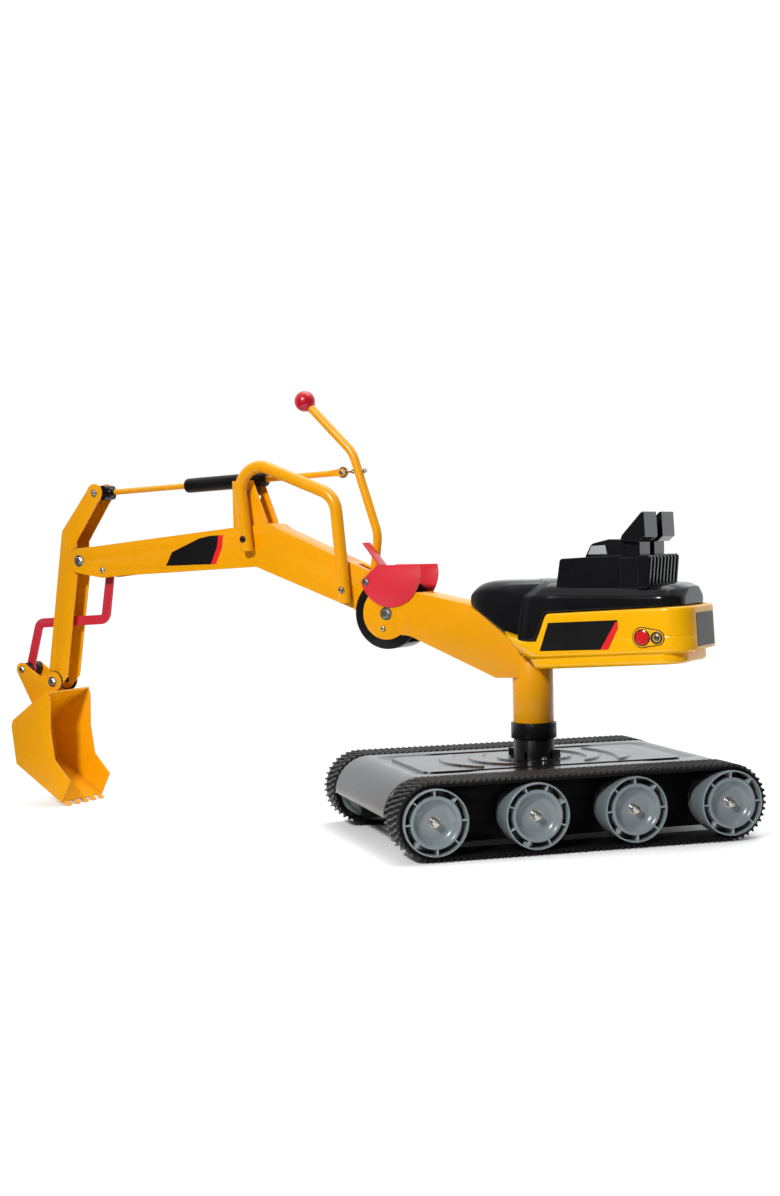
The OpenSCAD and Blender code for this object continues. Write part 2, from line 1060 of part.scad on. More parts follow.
module rod_clevis() {
    color(black)
        placed() {
            slab(-clevis_half, clevis_half)
                difference() {
                    union() {
                        disc(rod_front, 13.8);
                        translate(rod_front)
                            rotate(heading(rod_dir))
                                translate([0, -13])
                                    square([24, 26]);
                    }
                    disc(rod_front, screw_r + running);
                }
            rod_bar(rod_front, 23, rod_start, 7.5);
        }
}

module rod_fork_bolt() {
    color(steel)
        placed() {
            cross_pin(rod_rear, 2.5, -5.5, 5.5);
            for (side = [-1, 1])
                bolt_head(rod_rear, 5, side * 5.5, side);
        }
}

sleeve_r = 13.5;
sleeve_front = 198;
sleeve_len = 175;

module rod_sleeve() {
    lug_half = 7;
    color(black)
        placed()
            difference() {
                union() {
                    rod_bar(rod_front, sleeve_front, sleeve_front + sleeve_len, sleeve_r);
                    slab(-lug_half, lug_half)
                        tapered(sleeve_pivot, 7, sleeve_pivot + [0, 12], 8);
                }
                rod_bar(rod_front, sleeve_front - 1, sleeve_front + sleeve_len + 1, rod_r + running);
                cross_pin(sleeve_pivot, 2.5, -20, 20);
            }
}

module sleeve_pin() {
    color(steel)
        placed() {
            cross_pin(sleeve_pivot, 2.5, -bracket_out - 0.4, bracket_out + 0.4);
            slab_pair(bracket_out + 0.4, bracket_out + 2)
                disc(sleeve_pivot, 6.5);
        }
}

// ---------- bucket link ----------

link_bends = [stick_pivot + [40, -112], stick_pivot + [-120, -120]];
link_path = [link_pivot + 4 * unit(link_bends[0] - link_pivot), link_bends[0], link_bends[1],
             link_end + 8.6 * unit(link_bends[1] - link_end)];

module bucket_link() {
    color(red)
        placed()
            slab(-2.5, 2.5)
                difference() {
                    union() {
                        flat_bar(link_path, 18, 14);
                        disc(link_pivot, 12);
                        disc(link_end, bucket_knuckle_r);
                    }
                    disc(link_pivot, screw_r + running);
                    disc(link_end, screw_r + link_slack);
                }
}

// ---------- bucket ----------

bucket_back = [bucket_pivot + [17, -16.5], bucket_pivot + [-20.7, -38], bucket_pivot + [-70, -73],
               bucket_pivot + [-73, -85.3], bucket_pivot + [-63.4, -156], bucket_pivot + [42.5, -226.35]];
tooth_tip = bucket_pivot + [52.5, -233];

module bucket() {
    half = bucket_w / 2;
    tooth_pitch = bucket_w / teeth;
    color(yellow)
        placed() {
            slab(-half, half)
                strip(bucket_back, bucket_sheet);
            slab_pair(half - bucket_sheet, half)
                polygon(concat(bucket_back,
                               [bucket_pivot + [63.7, -184.7], bucket_pivot + [29, -146.1],
                                bucket_pivot + [20.4, -92.7], bucket_pivot + [21.5, -30.9]]));
            for (k = [0:teeth - 1]) {
                y = -half + (k + 0.5) * tooth_pitch;
                slab(y - 6, y + 6)
                    polygon([bucket_back[5], tooth_tip, tooth_tip + [1, 1.5],
                             bucket_back[5] + [1.66, 2.5]]);
            }
            slab_pair(ear_in, ear_out)
                difference() {
                    union() {
                        disc(bucket_pivot, 19.5);
                        disc(link_end, bucket_knuckle_r);
                        polygon([link_end + [-11.9, -5], bucket_pivot + [-44.2, -56.6],
                                 bucket_pivot + [-19.7, -39.6], bucket_pivot + [10.8, -22],
                                 bucket_pivot + [0, 5], bucket_pivot + [-13, 14.5],
                                 bucket_pivot + [-32, 10], link_end + [9, 9.4]]);
                    }
                    disc(bucket_pivot, stick_bolt_r);
                    disc(link_end, screw_r);
                }
        }
}

module bucket_bolts() {
    color(steel)
        placed() {
            cross_pin(bucket_pivot, stick_bolt_r, -ear_out, ear_out);
            cross_pin(link_end, screw_r, -ear_out, ear_out);
            for (side = [-1, 1]) {
                bolt_head(bucket_pivot, 10, side * ear_out, side);
                bolt_head(link_end, 6.5, side * ear_out, side);
            }
        }
}

module bucket_spacers() {
    color(black)
        placed() {
            slab_pair(stick_out + 0.4, ear_in)
                difference() {
                    disc(bucket_pivot, 20.5);
                    disc(bucket_pivot, stick_bolt_r);
                }
            slab_pair(3.3, ear_in)
                difference() {
                    disc(link_end, 12);
                    disc(link_end, screw_r);
                }
        }
}

// ---------- what is drawn ----------

base_cover();
base_frame();
axles();
hub_bolts();
track_belt_left();
track_belt_right();
wheel_left_1();
wheel_left_2();
wheel_left_3();
wheel_left_4();
wheel_right_1();
wheel_right_2();
wheel_right_3();
wheel_right_4();
post_socket();
socket_collar();
socket_screws();
spindle();
spindle_washer();
post_tube();
upper_bush();
seat_plate();
rear_boom();
pivot_shield();
main_pivot_bolt();
boom_rivets();
body_shell();
seat();
engine_cowl();
body_decals();
lamp_bezels();
tail_lamps();
marker_lamps();
front_boom();
lift_handle();
handle_screws();
rod_bracket();
guard_near();
guard_far();
lever_pivot_bolt();
pivot_spacers();
boom_decals();
stick_pivot_bolt();
stick_spacers();
link_screw();
lever_tube();
lever_knob();
lever_eye_bolt();
stick();
rod_pivot_screw();
control_rod();
rod_clevis();
rod_fork_bolt();
rod_sleeve();
sleeve_pin();
bucket_link();
bucket();
bucket_bolts();
bucket_spacers();
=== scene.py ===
import math
import bmesh
import bpy
from mathutils import Matrix, Vector


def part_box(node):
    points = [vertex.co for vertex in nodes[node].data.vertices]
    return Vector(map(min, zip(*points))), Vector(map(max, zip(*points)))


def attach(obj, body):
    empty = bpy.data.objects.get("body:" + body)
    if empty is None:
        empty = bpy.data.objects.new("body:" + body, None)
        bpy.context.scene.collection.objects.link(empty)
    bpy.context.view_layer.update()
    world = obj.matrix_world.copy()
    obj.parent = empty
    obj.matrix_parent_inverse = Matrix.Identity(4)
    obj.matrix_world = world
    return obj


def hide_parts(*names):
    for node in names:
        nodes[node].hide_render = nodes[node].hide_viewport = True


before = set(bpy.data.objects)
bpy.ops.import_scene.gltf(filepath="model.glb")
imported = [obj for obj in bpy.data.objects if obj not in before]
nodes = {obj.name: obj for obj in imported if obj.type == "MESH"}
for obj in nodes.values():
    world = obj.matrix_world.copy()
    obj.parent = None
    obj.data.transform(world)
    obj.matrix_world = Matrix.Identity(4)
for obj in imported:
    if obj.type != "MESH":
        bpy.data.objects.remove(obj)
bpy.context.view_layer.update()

scene = bpy.context.scene
MM = 0.001

# ---------- where things are ----------

post_low, post_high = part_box("post_tube")
SWIVEL_X = (post_low.x + post_high.x) / 2
# How far the base is turned under the arm, and how the body leans about the front end of its top edge
BASE_TURN = math.radians(44)
SHELL_TILT = math.radians(-2.8)
SHELL_EDGE = (56, 0, 366.6)
# Millimetres about the swivel axis, the same turned with the base, and the same leaning with the body
ARM = Matrix.Translation((SWIVEL_X, 0, 0)) @ Matrix.Scale(MM, 4)
BASE = Matrix.Translation((SWIVEL_X, 0, 0)) @ Matrix.Rotation(BASE_TURN, 4, "Z") @ Matrix.Scale(MM, 4)
SHELL = ARM @ Matrix.Translation(SHELL_EDGE) @ Matrix.Rotation(SHELL_TILT, 4, "Y")

# Pivots in the arm's plane, as (x, z) in millimetres
MAIN = (-258, 364.5)
STICK = (-920, 464)
LEVER = (-295, 419.5)
ROD_FRONT = (-885, 591)
ROD_REAR = (-355, 611.1)
LINK = (-866, 446)
BUCKET = (-992, 233)
LINK_END = (-1066, 255.5)
SLEEVE = (-541, 583)
# The axles along the base, and their height, which is also the outer radius of the belts
AXLES = (-246, -82, 82, 246)
AXLE_Z = 62

# ---------- materials ----------

# The part of a noise's range that colour and gloss are spread over
NOISE_LOW, NOISE_HIGH = 0.3, 0.7
# Pointiness at which a sharp edge starts to be lightened, and at which it is lightened fully: wear on most
# finishes, a painted highlight on the wheels
EDGE_LOW, EDGE_HIGH = 0.53, 0.62
GRAIN_HEIGHT = 0.0003


def linear(rgb):
    """sRGB 0-255 to linear RGBA."""
    return [((c / 255 + 0.055) / 1.055) ** 2.4 if c > 10.3 else c / 255 / 12.92 for c in rgb] + [1]


def material(name, rgb, rough=(0.3, 0.42), grain=900, bump=0.05, vary=0.05, patch=14, metal=0.0,
             coat=0.0, specular=0.5, wear_and_highlight=0.0, wear_and_highlight_rgb=(240, 235, 225), emit=0.0):
    """A surface whose colour drifts in patches, whose gloss varies, whose fine grain is in the bump and whose
    sharp edges may be lightened, as wear or as a painted highlight.
    """
    m = bpy.data.materials.new(name)
    m.use_nodes = True
    tree = m.node_tree
    new, link = tree.nodes.new, tree.links.new
    shader = tree.nodes["Principled BSDF"]
    shader.inputs["Metallic"].default_value = metal
    shader.inputs["Coat Weight"].default_value = coat
    shader.inputs["Coat Roughness"].default_value = 0.15
    shader.inputs["Specular IOR Level"].default_value = specular
    where = new("ShaderNodeTexCoord")
    blotch = new("ShaderNodeTexNoise")
    blotch.inputs["Scale"].default_value = patch
    blotch.inputs["Detail"].default_value = 5
    link(where.outputs["Object"], blotch.inputs["Vector"])
    ramp = new("ShaderNodeValToRGB")
    ramp.color_ramp.elements[0].position = NOISE_LOW
    ramp.color_ramp.elements[1].position = NOISE_HIGH
    base = linear(rgb)
    ramp.color_ramp.elements[0].color = [c * (1 - vary) for c in base[:3]] + [1]
    ramp.color_ramp.elements[1].color = [min(1, c * (1 + vary)) for c in base[:3]] + [1]
    link(blotch.outputs["Fac"], ramp.inputs["Fac"])
    colour = ramp.outputs["Color"]
    # Sharp edges are lightened towards a paler colour: wear on most finishes, a painted highlight on the
    # wheels' rims.
    if wear_and_highlight:
        edge = new("ShaderNodeNewGeometry")
        sharp = new("ShaderNodeMapRange")
        sharp.inputs["From Min"].default_value = EDGE_LOW
        sharp.inputs["From Max"].default_value = EDGE_HIGH
        sharp.inputs["To Max"].default_value = wear_and_highlight
        link(edge.outputs["Pointiness"], sharp.inputs["Value"])
        mix = new("ShaderNodeMix")
        mix.data_type = "RGBA"
        link(sharp.outputs["Result"], mix.inputs["Factor"])
        link(colour, mix.inputs["A"])
        mix.inputs["B"].default_value = linear(wear_and_highlight_rgb)
        colour = mix.outputs["Result"]
    link(colour, shader.inputs["Base Color"])
    gloss = new("ShaderNodeMapRange")
    gloss.inputs["From Min"].default_value = NOISE_LOW
    gloss.inputs["From Max"].default_value = NOISE_HIGH
    gloss.inputs["To Min"].default_value = rough[0]
    gloss.inputs["To Max"].default_value = rough[1]
    link(blotch.outputs["Fac"], gloss.inputs["Value"])
    link(gloss.outputs["Result"], shader.inputs["Roughness"])
    fine = new("ShaderNodeTexNoise")
    fine.inputs["Scale"].default_value = grain
    fine.inputs["Detail"].default_value = 3
    link(where.outputs["Object"], fine.inputs["Vector"])
    raised = new("ShaderNodeBump")
    raised.inputs["Strength"].default_value = bump
    raised.inputs["Distance"].default_value = GRAIN_HEIGHT
    link(fine.outputs["Fac"], raised.inputs["Height"])
    link(raised.outputs["Normal"], shader.inputs["Normal"])
    if emit:
        link(colour, shader.inputs["Emission Color"])
        shader.inputs["Emission Strength"].default_value = emit
    return m


YELLOW = material("yellow_paint", (229, 154, 0), rough=(0.24, 0.31), grain=180, bump=0.03, vary=0.03,
                  specular=0.38, wear_and_highlight=0.06, wear_and_highlight_rgb=(255, 205, 90))
SHELL_YELLOW = material("yellow_plastic", (240, 174, 0), rough=(0.17, 0.23), grain=160, bump=0.03, vary=0.03,
                        specular=0.5)
RED = material("red_paint", (196, 40, 56), rough=(0.28, 0.36), grain=180, bump=0.04, vary=0.05,
               wear_and_highlight=0.1, wear_and_highlight_rgb=(235, 110, 120))
GUARD = material("red_plastic", (208, 44, 58), rough=(0.24, 0.33), grain=300, bump=0.04, vary=0.05)
KNOB = material("knob_plastic", (186, 12, 36), rough=(0.27, 0.34), grain=200, bump=0.02, vary=0.05)
SEAT = material("seat_plastic", (15, 15, 17), rough=(0.16, 0.23), grain=420, bump=0.05, vary=0.15,
                specular=0.32, wear_and_highlight=0.06, wear_and_highlight_rgb=(90, 90, 95))
BLACK = material("black_plastic", (14, 14, 15), rough=(0.26, 0.36), grain=500, bump=0.06, vary=0.15,
                 specular=0.22, wear_and_highlight=0.05, wear_and_highlight_rgb=(80, 80, 84))
COVER = material("cover_plastic", (20, 19, 19), rough=(0.17, 0.23), grain=240, bump=0.02, vary=0.1,
                 specular=0.5, wear_and_highlight=0.05, wear_and_highlight_rgb=(110, 108, 106))
RUBBER = material("track_rubber", (12, 12, 12), rough=(0.34, 0.46), grain=420, bump=0.06, vary=0.2,
                  specular=0.26, wear_and_highlight=0.06, wear_and_highlight_rgb=(60, 58, 56))
# The band between the tread bars is a darker, duller copy of the rubber: painted shade in the grooves.
RUBBER_SHADED_BASE = material("track_base_painted_shade", (6, 6, 6), rough=(0.55, 0.68), grain=420, bump=0.06, vary=0.2,
                       specular=0.12)
# The wheels' sharp edges are lightened strongly to a pale grey: a painted highlight on their rims and lips.
WHEEL = material("wheel_plastic", (112, 121, 124), rough=(0.22, 0.3), grain=300, bump=0.03, vary=0.05,
                 specular=0.5, wear_and_highlight=0.3, wear_and_highlight_rgb=(170, 178, 180))
STEEL = material("steel", (186, 182, 174), rough=(0.2, 0.34), grain=600, bump=0.05, vary=0.12, patch=60,
                 metal=1.0)
DARK_STEEL = material("dark_steel", (40, 40, 42), rough=(0.35, 0.5), grain=900, bump=0.1, vary=0.2, metal=0.6)
FILM = material("decal_black", (16, 16, 17), rough=(0.3, 0.38), grain=300, bump=0.02, vary=0.1, specular=0.25)
FILM_RED = material("decal_red", (222, 34, 38), rough=(0.3, 0.38), grain=300, bump=0.02, vary=0.04,
                    specular=0.3)
FILM_SILVER = material("decal_silver", (176, 178, 180), rough=(0.25, 0.33), grain=300, bump=0.02, vary=0.05,
                       metal=0.3)
# The red lens glows faintly: a painted glow, with no light inside it.
RED_LENS = material("red_lens", (206, 26, 28), rough=(0.08, 0.16), grain=200, bump=0.02, vary=0.08, coat=0.8,
                    emit=0.05)
CLEAR_LENS = material("clear_lens", (62, 64, 70), rough=(0.08, 0.16), grain=200, bump=0.02, vary=0.08,
                      coat=0.8)
FRAME_PAINT = material("frame_paint", (12, 12, 13), rough=(0.45, 0.6), grain=400, bump=0.05, vary=0.15,
                       specular=0.15)

# ---------- shape tools, in millimetres ----------

# Angle in degrees over which an edge is sharp
SHARP = 32


def arc(cx, cz, r, start, end, n=12):
    """Points along an arc, angles in degrees."""
    out = []
    for i in range(n + 1):
        a = math.radians(start + (end - start) * i / n)
        out.append((cx + r * math.cos(a), cz + r * math.sin(a)))
    return out


def rounded(path, bend, n):
    """A list of points in space whose inner corners are rounded to radius bend."""
    path = [Vector(p) for p in path]
    out = [path[0]]
    for before, at, after in zip(path, path[1:], path[2:]):
        a, b = (before - at).normalized(), (after - at).normalized()
        half = a.angle(b) / 2
        run = min(bend / math.tan(half), (before - at).length * 0.49, (after - at).length * 0.49)
        r = run * math.tan(half)
        middle = at + (a + b).normalized() * (r / math.sin(half))
        p, q = at + a * run - middle, at + b * run - middle
        sweep = p.angle(q)
        for i in range(n + 1):
            t = i / n
            out.append(middle + (p * math.sin((1 - t) * sweep) + q * math.sin(t * sweep)) / math.sin(sweep))
    return out + [path[-1]]


def at(p, y=0):
    """A point of the arm's plane, moved out to y."""
    return Vector((p[0], y, p[1]))


def step(x, low, high):
    """Smooth rise from 0 at low to 1 at high."""
    t = min(1, max(0, (x - low) / (high - low)))
    return t * t * (3 - 2 * t)


class Shape:
    """Gathers points in millimetres and faces, then becomes one object."""

    def __init__(self):
        self.points, self.faces, self.tints = [], [], []

    def add(self, points, faces, tint=0):
        k = len(self.points)
        self.points += [Vector(p) for p in points]
        self.faces += [[k + i for i in f] for f in faces]
        self.tints += [tint] * len(faces)

    def grid(self, rows):
        """Skins a list of open rows that have the same number of points."""
        n = len(rows[0])
        starts = [i * n + j for i in range(len(rows) - 1) for j in range(n - 1)]
        faces = [[k, k + n, k + n + 1, k + 1] for k in starts]
        self.add([p for row in rows for p in row], faces)

    def rings(self, rings, closed=False, capped=True, tint=0):
        """Skins a list of rings that have the same number of points."""
        n, m = len(rings[0]), len(rings)
        faces = []
        for i in range(m if closed else m - 1):
            a, b = i * n, ((i + 1) % m) * n
            faces += [[a + j, a + (j + 1) % n, b + (j + 1) % n, b + j] for j in range(n)]
        if capped and not closed:
            faces += [list(range(n))[::-1], list(range((m - 1) * n, m * n))]
        self.add([p for ring in rings for p in ring], faces, tint)

    def prism(self, outline, y0, y1, tint=0):
        """An outline in x and z, from y0 to y1."""
        self.rings([[(x, y, z) for x, z in outline] for y in (y0, y1)], tint=tint)

    def lathe(self, profile, foot, along, sides=48, tint=0, turn=0.0, closed=False):
        """Turns (radius, height) points about the line from foot along a direction."""
        foot, along = Vector(foot), Vector(along).normalized()
        u = along.orthogonal().normalized()
        v = along.cross(u)
        rings = []
        for r, h in profile:
            r = max(r, 0.001)
            angles = [2 * math.pi * k / sides + turn for k in range(sides)]
            rings.append([foot + along * h + u * (r * math.cos(a)) + v * (r * math.sin(a)) for a in angles])
        self.rings(rings, closed=closed, capped=not closed, tint=tint)

    def tube(self, path, radius, wall, sides):
        """A round tube along a path, open at both ends."""
        path = [Vector(p) for p in path]
        n = len(path)
        ways = [(path[min(i + 1, n - 1)] - path[max(i - 1, 0)]).normalized() for i in range(n)]
        side = ways[0].orthogonal().normalized()
        frames = []
        for way in ways:
            side = (side - way * side.dot(way)).normalized()
            frames.append((side, way.cross(side)))
        angles = [2 * math.pi * k / sides for k in range(sides)]

        def skin(r, order):
            return [[path[i] + frames[i][0] * (r * math.cos(a)) + frames[i][1] * (r * math.sin(a))
                     for a in angles] for i in order]

        self.rings(skin(radius, range(n)) + skin(radius - wall, reversed(range(n))), closed=True)

    def bolt(self, p, y, side, washer, head, height, sides, tint=0):
        """A washer with a hexagon head, or a domed head with a socket where sides is 0."""
        foot, along = at(p, y), (0, side, 0)
        if washer:
            rim = [(0, 0), (washer - 0.5, 0), (washer, 0.4), (washer, 1.1), (washer - 0.4, 1.5), (0, 1.5)]
            self.lathe(rim, foot, along, 40, tint)
        if sides:
            profile = [(0, 1), (head * 0.96, 1), (head, 1.6), (head, height - 0.7), (head * 0.86, height),
                       (head * 0.45, height + 0.2), (0, height + 0.3)]
            self.lathe(profile, foot, along, sides, tint, turn=0.3)
        else:
            profile = [(0, 1), (head, 1), (head, 1.8), (head * 0.9, height * 0.72), (head * 0.66, height),
                       (head * 0.42, height + 0.2), (head * 0.36, height * 0.45), (0, height * 0.4)]
            self.lathe(profile, foot, along, 36, tint)


def make(name, shape, where, body, paints, stands_for=(), bevel=0.0, steps=3, smooth=0, corner=SHARP):
    """One object from a Shape, riding on a body. Edges over corner degrees stay sharp, or get the bevel."""
    mesh = bpy.data.meshes.new(name)
    mesh.from_pydata([where @ p for p in shape.points], [], shape.faces)
    mesh.polygons.foreach_set("material_index", shape.tints)
    for paint in paints:
        mesh.materials.append(paint)
    work = bmesh.new()
    work.from_mesh(mesh)
    bmesh.ops.remove_doubles(work, verts=work.verts, dist=0.02 * MM)
    bmesh.ops.dissolve_degenerate(work, dist=0.01 * MM, edges=work.edges)
    bmesh.ops.recalc_face_normals(work, faces=work.faces)
    work.to_mesh(mesh)
    work.free()
    mesh.shade_smooth()
    mesh.set_sharp_from_angle(angle=math.radians(corner))
    piece = bpy.data.objects.new(name, mesh)
    scene.collection.objects.link(piece)
    if smooth:
        mod = piece.modifiers.new("smooth", "SUBSURF")
        mod.levels = mod.render_levels = smooth
    if bevel:
        soften(piece, bevel, steps, corner)
    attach(piece, body)
    if stands_for:
        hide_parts(*stands_for)
    return piece


def soften(piece, width, steps=2, corner=SHARP):
    """Rounds the sharp edges of a piece by width in millimetres."""
    mod = piece.modifiers.new("edges", "BEVEL")
    mod.width = width * MM
    mod.segments = steps
    mod.limit_method = "ANGLE"
    mod.angle_limit = math.radians(corner)
    mod.harden_normals = True
    mod.miter_outer = "MITER_ARC"


def thicken(piece, wall):
    """Gives an open sheet its wall, on the inside."""
    mod = piece.modifiers.new("wall", "SOLIDIFY")
    mod.thickness = wall * MM
    mod.offset = -1


def keep(name, paint, width=0.0):
    """Keeps a CAD node, gives it its finish and breaks its edges."""
    piece = nodes[name]
    piece.data.materials.clear()
    piece.data.materials.append(paint)
    piece.data.shade_smooth()
    if width:
        weld = piece.modifiers.new("weld", "WELD")
        weld.merge_threshold = 0.005 * MM
        flat = piece.modifiers.new("flat", "DECIMATE")
        flat.decimate_type = "DISSOLVE"
        flat.angle_limit = math.radians(0.6)
        soften(piece, width)
    else:
        piece.data.set_sharp_from_angle(angle=math.radians(SHARP))


# ---------- CAD nodes that stay ----------

for name in ("stick", "front_boom", "rear_boom", "bucket", "rod_bracket", "post_tube"):
    keep(name, YELLOW, 0.7)
keep("control_rod", YELLOW, 0.4)
keep("bucket_link", RED, 0.8)
keep("guard_near", GUARD, 0.8)
keep("guard_far", GUARD, 0.8)
keep("pivot_shield", BLACK, 0.6)
for name in ("pivot_spacers", "stick_spacers", "bucket_spacers", "post_socket", "socket_collar"):
    keep(name, BLACK, 0.8)
keep("upper_bush", BLACK)
for name in ("seat_plate", "base_frame"):
    keep(name, FRAME_PAINT, 0.5)
for name in ("axles", "spindle", "spindle_washer", "lever_eye_bolt", "sleeve_pin", "socket_screws"):
    keep(name, STEEL, 0.3)

# ---------- tracks and wheels ----------

# The belt's inner and outer sides, and the radii of its band and of its bars about the end axles
BELT_IN, BELT_OUT = 159, 229
BELT_WIDE = BELT_OUT - BELT_IN
BELT_R, LUG_R = 57.8, 61.9
RUN = AXLES[3] - AXLES[0]
BELT_LEN = 2 * RUN + 2 * math.pi * AXLE_Z
BELT_CUTS = 150
# Tread bars: how many, half their length across the belt, their slant, and their wave's size and rate
LUGS, LUG_HALF, LUG_CUTS = 132, 34.8, 14
SLANT, WAVE, WAVE_RATE = 0.3, 0.8, 0.2
# A wheel's inner side, its width and its spokes
WHEEL_IN, WHEEL_WIDE, SPOKES = 162, 74, 8


def belt_point(s, r):
    """Point in x and z at distance s along the belt, on the surface of radius r about the end axles."""
    s %= BELT_LEN
    half = math.pi * AXLE_Z
    if s < RUN:
        return AXLES[0] + s, AXLE_Z + r
    s -= RUN
    if s < half:
        a = math.pi / 2 - s / AXLE_Z
        return AXLES[3] + r * math.cos(a), AXLE_Z + r * math.sin(a)
    s -= half
    if s < RUN:
        return AXLES[3] - s, AXLE_Z - r
    a = -math.pi / 2 - (s - RUN) / AXLE_Z
    return AXLES[0] + r * math.cos(a), AXLE_Z + r * math.sin(a)


def track_belt(side):
    """A belt with slanted, slightly waved bars all round."""
    shape = Shape()
    section = [(BELT_R, 0), (BELT_R, BELT_WIDE), (56.8, BELT_WIDE), (53.2, BELT_WIDE - 1), (53.2, 1),
               (56.8, 0)]
    edge = BELT_IN if side > 0 else -BELT_OUT
    rings = []
    for k in range(BELT_CUTS):
        s = BELT_LEN * k / BELT_CUTS
        rings.append([])
        for r, y in section:
            x, z = belt_point(s, r)
            rings[-1].append((x, edge + y, z))
    # The band takes the darker copy of the rubber, painted shade between the bars.
    shape.rings(rings, closed=True, tint=1)
    middle = side * (BELT_IN + BELT_OUT) / 2
    for k in range(LUGS):
        rings = []
        for j in range(LUG_CUTS + 1):
            across = -LUG_HALF + j * 2 * LUG_HALF / LUG_CUTS
            s = BELT_LEN * k / LUGS - SLANT * across + WAVE * math.sin(across * WAVE_RATE)
            ring = []
            for ds, r in ((-3.4, BELT_R - 1), (-1.6, LUG_R - 0.6), (-0.9, LUG_R), (0.9, LUG_R),
                          (1.6, LUG_R - 0.6), (3.4, BELT_R - 1)):
                x, z = belt_point(s + ds, r)
                ring.append((x, middle + across, z))
            rings.append(ring)
        shape.rings(rings)
    name = "track_belt_right" if side > 0 else "track_belt_left"
    make(name + "_tread", shape, BASE, "base", [RUBBER, RUBBER_SHADED_BASE], [name], corner=28)


def wheel(side, n):
    """Stepped drum with an open ring of spokes and a dished hub."""
    shape = Shape()
    foot, along = Vector((AXLES[n], side * WHEEL_IN, AXLE_Z)), Vector((0, side, 0))
    h = WHEEL_WIDE
    hub = [(6.2, h - 13.4), (22, h - 13.4), (25.5, h - 12.8), (29, h - 11), (32, h - 7.8), (34.2, h - 4.2),
           (35.8, h - 2.4), (37.2, h - 1.7), (39.6, h - 1.6), (40.5, h - 2.2), (40.7, h - 3.2),
           (40.9, h - 36)]
    rim = [(49, h - 36), (49.4, h - 1.2), (49.8, h - 0.3), (50.4, h - 0.05), (51.3, h - 0.2),
           (51.9, h - 0.9), (52, h - 2), (52, 30.2), (51.7, 29.4), (51, 29)]
    drum = [(48.6, 28.6), (48, 27.8), (47.6, 9.6), (47.2, 8.6), (46.4, 8.1), (41, 7.9), (40.1, 7.2),
            (38.4, 0.6), (37.4, 0.1), (6.2, 0.1)]
    shape.lathe(hub + rim + drum, foot, along, 96, closed=True)
    u = Vector((1, 0, 0))
    v = Vector((0, 0, 1))
    # The photo's second wheel stands half a spoke further round
    offset = 180 / SPOKES if n == 1 else 0
    spoke = ((-1.4, h - 34), (-1.1, h - 1.6), (-0.7, h - 1.1), (0.7, h - 1.1), (1.1, h - 1.6), (1.4, h - 34))
    for k in range(SPOKES):
        a = math.radians(360 / SPOKES * k + offset + 2)
        out, across = u * math.cos(a) + v * math.sin(a), u * -math.sin(a) + v * math.cos(a)
        shape.rings([[foot + out * r + across * w + along * d for w, d in spoke] for r in (40.2, 50.2)])
    # Round ejector pad beside one spoke
    a = math.radians(232 + offset)
    pad = foot + (u * math.cos(a) + v * math.sin(a)) * 45
    shape.lathe([(0, h - 36), (3.4, h - 36), (3.2, h - 7), (2.6, h - 6.4), (0, h - 6.4)], pad, along, 20)
    name = "wheel_%s_%d" % ("right" if side > 0 else "left", n + 1)
    make(name + "_moulding", shape, BASE, name, [WHEEL], [name], corner=40)


def hub_bolts():
    """A domed bolt in the middle of each wheel."""
    shape = Shape()
    for side in (-1, 1):
        for x in AXLES:
            shape.bolt((x, AXLE_Z), side * 222.4, side, 9.4, 7.4, 5.2, sides=0)
    make("hub_bolts_domed", shape, BASE, "base", [STEEL], ["hub_bolts"], corner=35)


for side in (-1, 1):
    track_belt(side)
    for n in range(len(AXLES)):
        wheel(side, n)
hub_bolts()

# ---------- base cover ----------

COVER_HALF, COVER_R, COVER_WALL = 156, 61, 2.6
COVER_RUN = AXLES[3]
ROLL, ROLL_DROP = 5, 2.6
# The panel's half length and half width, the radius of its corners, and how far it lies down
PANEL, PANEL_ROUND, PANEL_DROP = (222, 101), 14, 1
# The channel beside the panel: its width, how far its floor lies down, and its depth from the edge beyond it
CHANNEL, CHANNEL_DROP, CHANNEL_DEEP = 20, 4.2, 3.6
# Raised arcs round the post: radius, half their thickness, and how far they reach to each side
ARCS = ((147, 16, 86), (98, 14, 76), (52, 12, 44))
ARC_RISE, ARC_EDGE = 2.6, 1.4


def cover_drop(x, y):
    """How far the face lies under the outer surface: rolled edges, a channel round the panel, raised arcs."""
    ay, ax = abs(y), abs(x)
    drop = ROLL_DROP * step(ay, COVER_HALF - ROLL, COVER_HALF) ** 2
    # Distance outside the panel, whose corners are round
    ox, oy = ax - PANEL[0] + PANEL_ROUND, ay - PANEL[1] + PANEL_ROUND
    apart = math.hypot(max(ox, 0), max(oy, 0)) + min(max(ox, oy), 0) - PANEL_ROUND
    # The channel's outer edge is crisp beside the panel and soft round its ends
    beside = step(165 - ax, 0, 30)
    rise = beside * step(apart, CHANNEL, CHANNEL + 2) + (1 - beside) * step(apart, 2, 36)
    outside = step(apart, 0, 1)
    drop += (1 - outside) * PANEL_DROP + outside * (CHANNEL_DROP - CHANNEL_DEEP * rise)
    r = math.hypot(x, y)
    for middle, thick, reach in ARCS:
        if ay < reach:
            half = thick * math.sqrt(1 - (ay / reach) ** 2)
            drop -= ARC_RISE * (1 - step(abs(r - middle) - half, -ARC_EDGE, 0))
    return drop


def cover_point(s, y):
    """The face's point at distance s along the cover, which bends down round the end axles."""
    r = COVER_R - cover_drop(s, y)
    a = max(0.0, abs(s) - COVER_RUN) / COVER_R
    x = math.copysign(min(abs(s), COVER_RUN) + r * math.sin(a), s)
    return x, y, AXLE_Z + r * math.cos(a)


